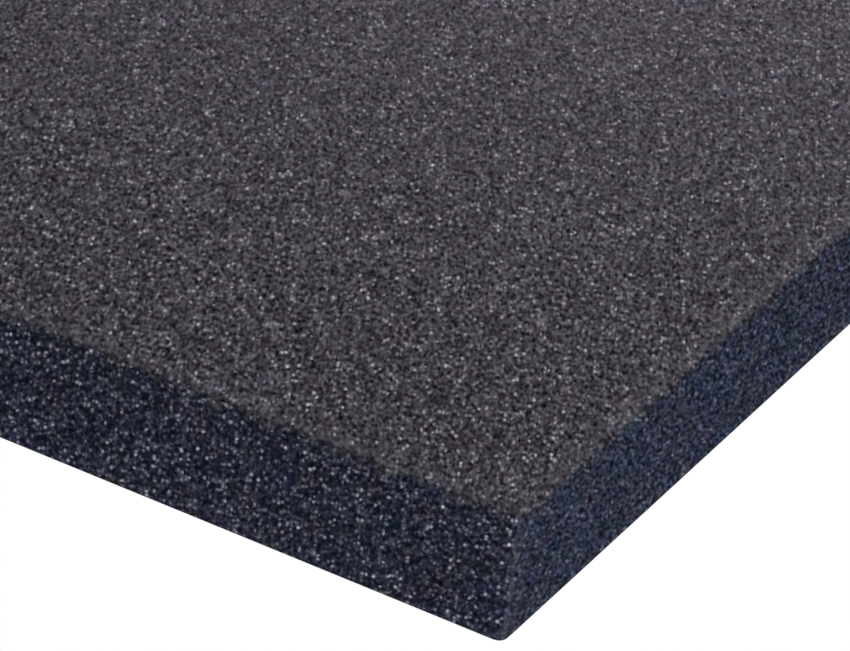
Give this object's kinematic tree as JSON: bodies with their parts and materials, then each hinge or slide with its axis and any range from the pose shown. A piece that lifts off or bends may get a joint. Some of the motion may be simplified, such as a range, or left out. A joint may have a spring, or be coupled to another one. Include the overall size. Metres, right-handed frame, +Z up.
{
  "type": "foam sheet",
  "caption": "Square sheet of soft charcoal open-cell foam with clean cut sides, for padding, packing, lining or absorbing sound.",
  "frame": {"origin": "middle of the underside, on the surface that the sheet lies on", "axes": "+Z up through the thickness, +X and +Y along the two pairs of cut sides"},
  "size_m": [0.3, 0.3, 0.025],
  "materials": {
    "foam": "matte, open-cell cut foam, charcoal"
  },
  "bodies": {
    "root": {"foam_sheet": "foam"}
  },
  "joints": []
}
